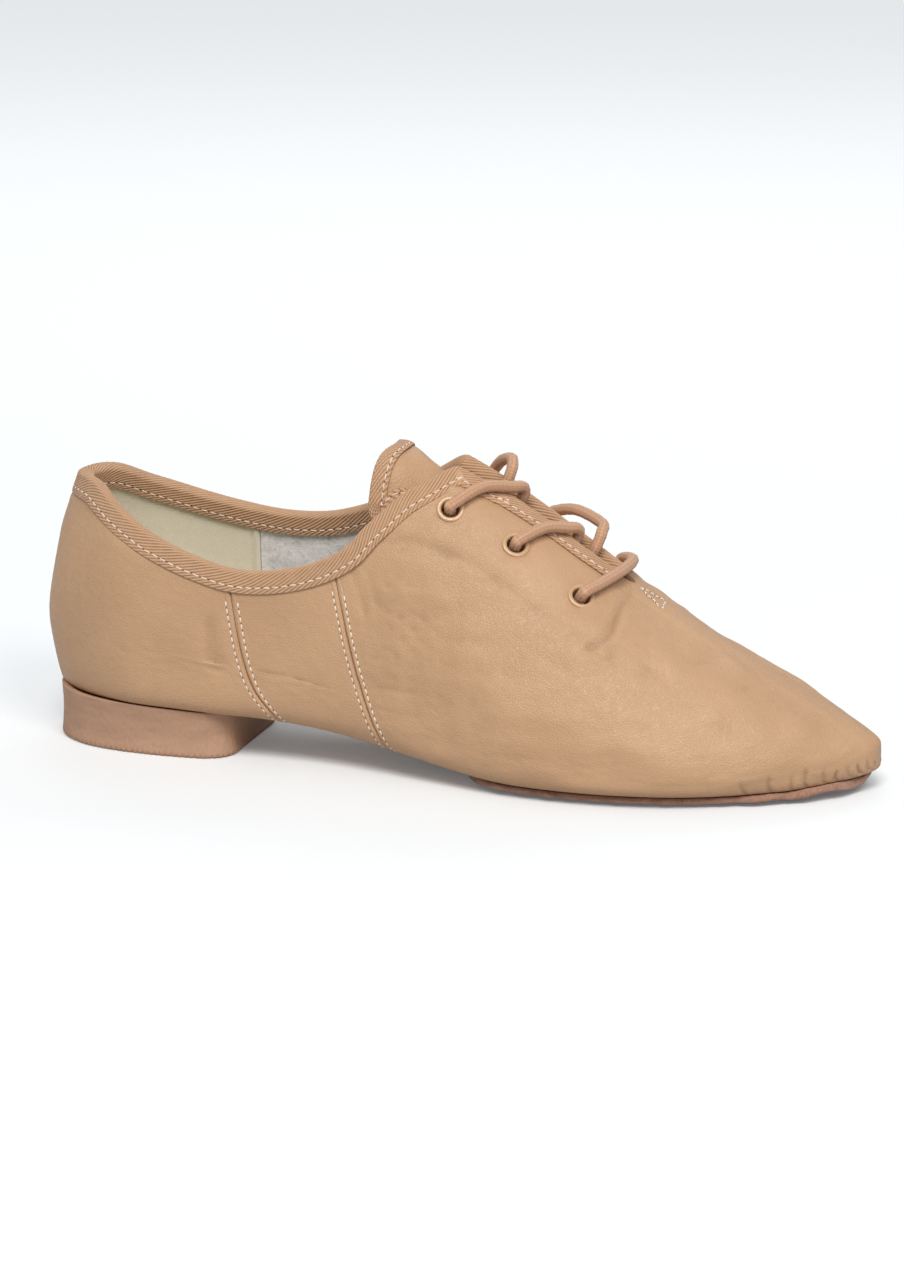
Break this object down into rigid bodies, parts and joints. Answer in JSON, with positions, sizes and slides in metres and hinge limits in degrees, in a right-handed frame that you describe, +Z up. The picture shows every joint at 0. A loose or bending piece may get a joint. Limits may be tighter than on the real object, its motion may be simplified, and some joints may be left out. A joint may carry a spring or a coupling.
{
  "type": "jazz dance shoe",
  "caption": "Low lace-up jazz dance shoe for the right foot, with a split sole, taped topline, separate tongue and low rubber heel.",
  "frame": {"origin": "on the floor under the centre of the heel block, where the heel's tread stands", "axes": "+X from the heel towards the toe, +Y towards the inner (medial) side, +Z up"},
  "size_m": [0.25, 0.0814, 0.093],
  "materials": {
    "upper_leather": "satin",
    "tongue_leather": "satin",
    "binding_tape": "matte",
    "white_lining": "matte",
    "heel_lining": "satin",
    "counter_board": "matte",
    "seam_tape": "matte",
    "white_thread": "matte",
    "tan_thread": "matte",
    "eyelet_enamel": "gloss",
    "washer_metal": "satin",
    "lace_cord": "matte",
    "aglet_film": "gloss",
    "sole_suede": "matte",
    "filler_felt": "matte",
    "insole_board": "matte",
    "heel_rubber": "matte",
    "heel_foam": "matte",
    "nail_steel": "satin",
    "sock_leather": "matte"
  },
  "bodies": {
    "forefoot": {"vamp": "upper_leather", "arch_panel": "upper_leather", "vamp_lining": "white_lining", "arch_lining": "white_lining", "vamp_seam_tape": "seam_tape", "facing_stay_lateral": "seam_tape", "facing_stay_medial": "seam_tape", "topline_binding": "binding_tape", "eyelets": "eyelet_enamel", "eyelet_washers": "washer_metal", "lace": "lace_cord", "aglets": "aglet_film", "forefoot_sole": "sole_suede", "forefoot_filler": "filler_felt", "forefoot_insole": "insole_board", "sock_liner": "sock_leather", "vamp_seam_stitches": "white_thread", "binding_stitches": "tan_thread", "throat_bar_tack": "white_thread"},
    "heel": {"heel_quarter_lateral": "upper_leather", "heel_quarter_medial": "upper_leather", "heel_lining": "heel_lining", "heel_counter": "counter_board", "heel_seam_tape": "seam_tape", "heel_seam_stitches": "white_thread", "heel_block": "heel_rubber", "heel_filler": "filler_felt", "heel_insole_board": "insole_board", "heel_pad": "heel_foam", "heel_nails": "nail_steel"},
    "tongue": {"tongue": "tongue_leather", "tongue_lining": "white_lining", "tongue_binding": "binding_tape", "tongue_binding_stitches": "tan_thread"}
  },
  "joints": [
    {"name": "arch_flex", "type": "hinge", "parent": "forefoot", "child": "heel", "pos_m": [0.055, 0, 0.03], "axis": [0, -1, 0], "range_deg": [-5, 30], "stiffness_Nm_per_rad": 0.5, "deforming": ["arch_panel", "arch_lining", "topline_binding", "binding_stitches", "sock_liner"]},
    {"name": "tongue_swing", "type": "hinge", "parent": "forefoot", "child": "tongue", "pos_m": [0.154, 0.002, 0.0445], "axis": [0, -1, 0], "range_deg": [0, 15], "stiffness_Nm_per_rad": 0.05}
  ]
}
